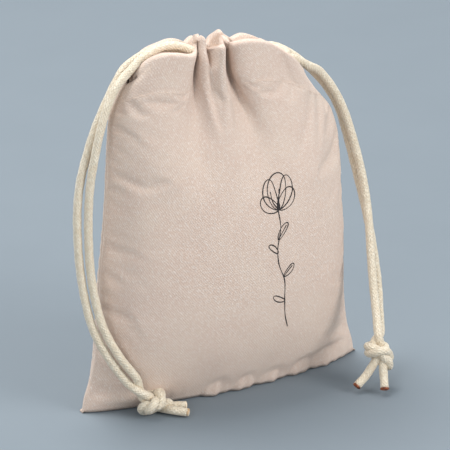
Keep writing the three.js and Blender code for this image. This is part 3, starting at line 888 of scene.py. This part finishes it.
def seam_strip(name, outer, inward, across, node):
    """A closed strip, two cloths thick, from the seam line inwards, rippled along its edge."""
    outer = np.asarray(outer)
    count = len(outer)
    depth = 5
    rings = []
    for k in range(depth):
        t = k / (depth - 1)
        ripple = 0.25 * t * np.sin(np.arange(count) * 0.7)[:, None] * across
        rings.append(outer + inward * (0.9 + (ALLOWANCE - 0.9) * t) + ripple)
    rings = np.array(rings)
    half = across * 0.4
    points = np.concatenate([rings + half, rings - half]).reshape(-1, 3)
    faces = []
    sheet_size = depth * count
    for k in range(depth - 1):
        for j in range(count - 1):
            a = k * count + j
            faces.append((a, a + 1, a + count + 1, a + count))
            b = a + sheet_size
            faces.append((b, b + count, b + count + 1, b + 1))
    border = [(0, j) for j in range(count)] + [(k, count - 1) for k in range(1, depth)]
    border += [(depth - 1, j) for j in range(count - 2, -1, -1)] + [(k, 0) for k in range(depth - 2, 0, -1)]
    for (k0, j0), (k1, j1) in zip(border, border[1:] + border[:1]):
        a = k0 * count + j0
        b = k1 * count + j1
        faces.append((a, a + sheet_size, b + sheet_size, b))
    strip = add_mesh(name, points * MM, faces, seam_suede)
    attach(strip, "sack")
    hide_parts(node)
    return strip


face_rows = slice(UNDER_ROWS + 4, UNDER_ROWS + 104)
for side_name, column, way in (("left", 0, 1), ("right", -1, -1)):
    line = (cloths["front"][face_rows, column] + cloths["back"][face_rows, column]) / 2
    seam_strip(
        f"{side_name}_seam_allowance", line, np.array([way, 0.0, 0.0]), np.array([0, 1.0, 0]),
        f"{side_name}_side_seam",
    )
line = (cloths["front"][0, 12:-12:2] + cloths["back"][0, 12:-12:2]) / 2 + np.array([0, 0, 0.9])
seam_strip("bottom_seam_allowance", line, np.array([0.0, 0, 1.0]), np.array([0, 1.0, 0]), "bottom_seam")


# ---------------------------------------------------------------------------
# Printed flower: a plain line drawing in black ink on the front cloth, one
# line thick, of a made-up bloom with rounded petals on a stem with four leaves.
# ---------------------------------------------------------------------------
def ink_finish():
    """Matt black screen-print ink, thin enough for the nap to show through in places."""
    finish = Finish("ink")
    solid = finish.node("ShaderNodeTexCoord", None, None, output=3)
    uneven = finish.noise(solid, 2200.0, 3.0)
    base = finish.mix(uneven.between(0.55, 0.9) * 0.5, colour(38, 33, 32), colour(96, 84, 78))
    finish.set(Base_Color=base, Roughness=0.7 + 0.2 * uneven)
    finish.set(Normal=finish.bump(uneven, 0.00005))
    return finish


ink = ink_finish()
LINE_WIDTH = 0.42
INK_LIFT = 0.05


def column_of(x_at, row):
    line = cloths["front"][row, :, 0]
    return float(np.interp(x_at, line, np.arange(len(line))))


def row_of(height, column):
    line = cloths["front"][UNDER_ROWS:UNDER_ROWS + FACE_ROWS - 10, column, 2]
    return UNDER_ROWS + float(np.interp(height, line, np.arange(len(line))))


def petal(foot, tip, swell, lean=0.0, count=26):
    """The outline of a petal or leaf between its foot and its tip, bowed to both sides."""
    foot, tip = np.array(foot, float), np.array(tip, float)
    way = tip - foot
    side_way = np.array([-way[1], way[0]])
    turn = np.linspace(0, math.tau, count)
    rise = (1 - np.cos(turn)) / 2
    bow = np.sin(turn) * swell * (0.75 + 0.25 * rise)
    return foot + rise[:, None] * way + (bow + lean * np.sin(rise * math.pi))[:, None] * side_way


def bow(points):
    return smooth_line([(x, y, 0) for x, y in points], 0.6)[:, :2]


STEM = [(11.2, 70.5), (11.8, 64), (10.4, 57), (10.8, 51), (13.4, 44), (13.8, 37), (14.6, 30), (16.2, 25)]
FLOWER_LINES = [
    bow(STEM),
    petal((11.2, 70.6), (4.6, 75.6), 0.34, 0.05),
    petal((11.4, 70.8), (17.6, 77.4), 0.36, -0.06),
    petal((11.2, 70.8), (12.4, 83.6), 0.33, 0.05),
    petal((11.3, 70.8), (8.0, 81.8), 0.26, 0.12),
    petal((11.4, 70.8), (15.8, 82.2), 0.24, -0.1),
    bow([(11.3, 71), (11.8, 74.5), (12.2, 78)]),
    bow([(11.1, 71), (9.2, 74), (8.6, 77.6)]),
    petal((10.7, 60.0), (14.8, 65.4), 0.2, 0.04),
    bow([(10.7, 60.0), (12.8, 62.8), (14.2, 64.6)]),
    petal((13.0, 45.6), (17.2, 49.6), 0.22, -0.05),
    bow([(13.0, 45.6), (15, 47.6), (16.6, 49)]),
    petal((13.9, 36.0), (9.0, 38.6), 0.2, 0.05),
    petal((10.5, 55.0), (6.8, 58.6), 0.2, -0.04),
]
points, faces = [], []
for number, line in enumerate(FLOWER_LINES):
    laid = []
    for x_at, height in line:
        row = row_of(height, 110)
        column = column_of(x_at, int(round(row)))
        row = row_of(height, int(round(column)))
        laid.append(on_cloth("front", column_of(x_at, int(round(row))), row, INK_LIFT))
    places = np.array([place for place, _ in laid])
    normals = np.array([normal for _, normal in laid])
    way = np.gradient(places, axis=0)
    way /= np.maximum(np.linalg.norm(way, axis=1), 1e-9)[:, None]
    side_way = np.cross(way, normals)
    swell = 0.5 * LINE_WIDTH * (0.9 + 0.22 * np.sin(np.arange(len(places)) * 0.45 + number))
    swell = np.maximum(swell, 0.12)[:, None]
    first = len(points)
    for place, normal, side_step in zip(places, normals, side_way * swell):
        points.extend([place - side_step, place + normal * 0.04, place + side_step, place - normal * 0.06])
    for k in range(len(places) - 1):
        low = first + 4 * k
        for j in range(4):
            n = (j + 1) % 4
            faces.append((low + j, low + n, low + 4 + n, low + 4 + j))
    faces.append((first + 3, first + 2, first + 1, first))
    last = first + 4 * (len(places) - 1)
    faces.append((last, last + 1, last + 2, last + 3))
flower = add_mesh("printed_flower", np.array(points) * MM, faces, ink, smooth=False)
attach(flower, "sack")


# ---------------------------------------------------------------------------
# The hidden middle of each drawstring: through the front casing, round the far
# slit and back through the other casing, snaking between the gathers.
# ---------------------------------------------------------------------------
LOOP_LEVEL = 1.95
LOOP_HEIGHT = 121.5
LOOP_ROW = UNDER_ROWS + FACE_ROWS - 12
PLEAT_REACH = 3.4
CLOTH_TO_LOOP = 2.3


def in_casing(side, x_at, level):
    """A point of the cord inside a casing, behind the cloth's outer layer."""
    row = cloths[side][LOOP_ROW]
    order = np.argsort(row[:, 0])
    near = np.abs(row[:, 0] - x_at) < PLEAT_REACH
    if near.any():
        depth = np.abs(row[near, 1]).min()
    else:
        depth = np.interp(x_at, row[order, 0], np.abs(row[order, 1]))
    depth = float(np.clip(depth - CLOTH_TO_LOOP, 1.7, 4.6))
    return (x_at, (-1 if side == "front" else 1) * depth, LOOP_HEIGHT + level - x_at * MOUTH_TILT)


for side_name, way, level in (("left", 1, LOOP_LEVEL), ("right", -1, -LOOP_LEVEL)):
    ends = [step * 3.0 * way for step in range(-3, 9)]
    there = [in_casing("front", x_at, level) for x_at in ends]
    back = [in_casing("back", x_at, level) for x_at in ends[::-1]]
    turn_x = way * 26.0
    bight = (turn_x, 0, LOOP_HEIGHT + level - turn_x * MOUTH_TILT)
    loop_line = smooth_line([*there, bight, *back], 0.8)
    loop = cord_tube(f"{side_name}_cord_middle", loop_line, CORD_RADIUS, satin_finish, seed=9)
    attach(loop, f"{side_name}_drawstring")
    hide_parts(f"{side_name}_cord_loop")


# ---------------------------------------------------------------------------
# Floor and light: a seamless pale blue-grey paper, a soft lamp high behind the sack, a second
# from the front right, a weaker one from the left and an even sky.
# ---------------------------------------------------------------------------
def paper():
    finish = Finish("paper")
    solid = finish.node("ShaderNodeTexCoord", None, None, output=3)
    uneven = finish.noise(solid, 30.0, 2.0)
    base = finish.mix(uneven, colour(120, 129, 136), colour(123, 132, 139))
    finish.set(Base_Color=base, Roughness=0.95, Specular_IOR_Level=0.2)
    return finish


paper_corners = [(-3, -3, 0), (3, -3, 0), (3, 3, 0), (-3, 3, 0)]
floor = add_mesh("floor", paper_corners, [(0, 1, 2, 3)], paper(), smooth=False)
for place, power, size, tint in (
    ((-0.1, 0.42, 1.15), 16.5, 0.7, (1, 0.985, 0.965)),
    ((0.75, -1.15, 0.75), 15, 0.8, (1, 0.99, 0.975)),
    ((-1.15, -0.75, 0.55), 5, 0.8, (1, 0.99, 0.98)),
):
    lamp_data = bpy.data.lights.new("softbox", "AREA")
    lamp_data.energy = power
    lamp_data.size = size
    lamp_data.color = tint
    lamp = bpy.data.objects.new("softbox", lamp_data)
    bpy.context.scene.collection.objects.link(lamp)
    lamp.location = place
    lamp.rotation_mode = "QUATERNION"
    lamp.rotation_quaternion = (Vector((0, 0, 0.05)) - Vector(place)).to_track_quat("-Z", "Y")
sky = bpy.data.worlds.new("sky")
sky.use_nodes = True
sky.node_tree.nodes["Background"].inputs["Color"].default_value = (0.86, 0.93, 1, 1)
sky.node_tree.nodes["Background"].inputs["Strength"].default_value = 0.68
bpy.context.scene.world = sky
bpy.context.scene.view_settings.view_transform = "Standard"
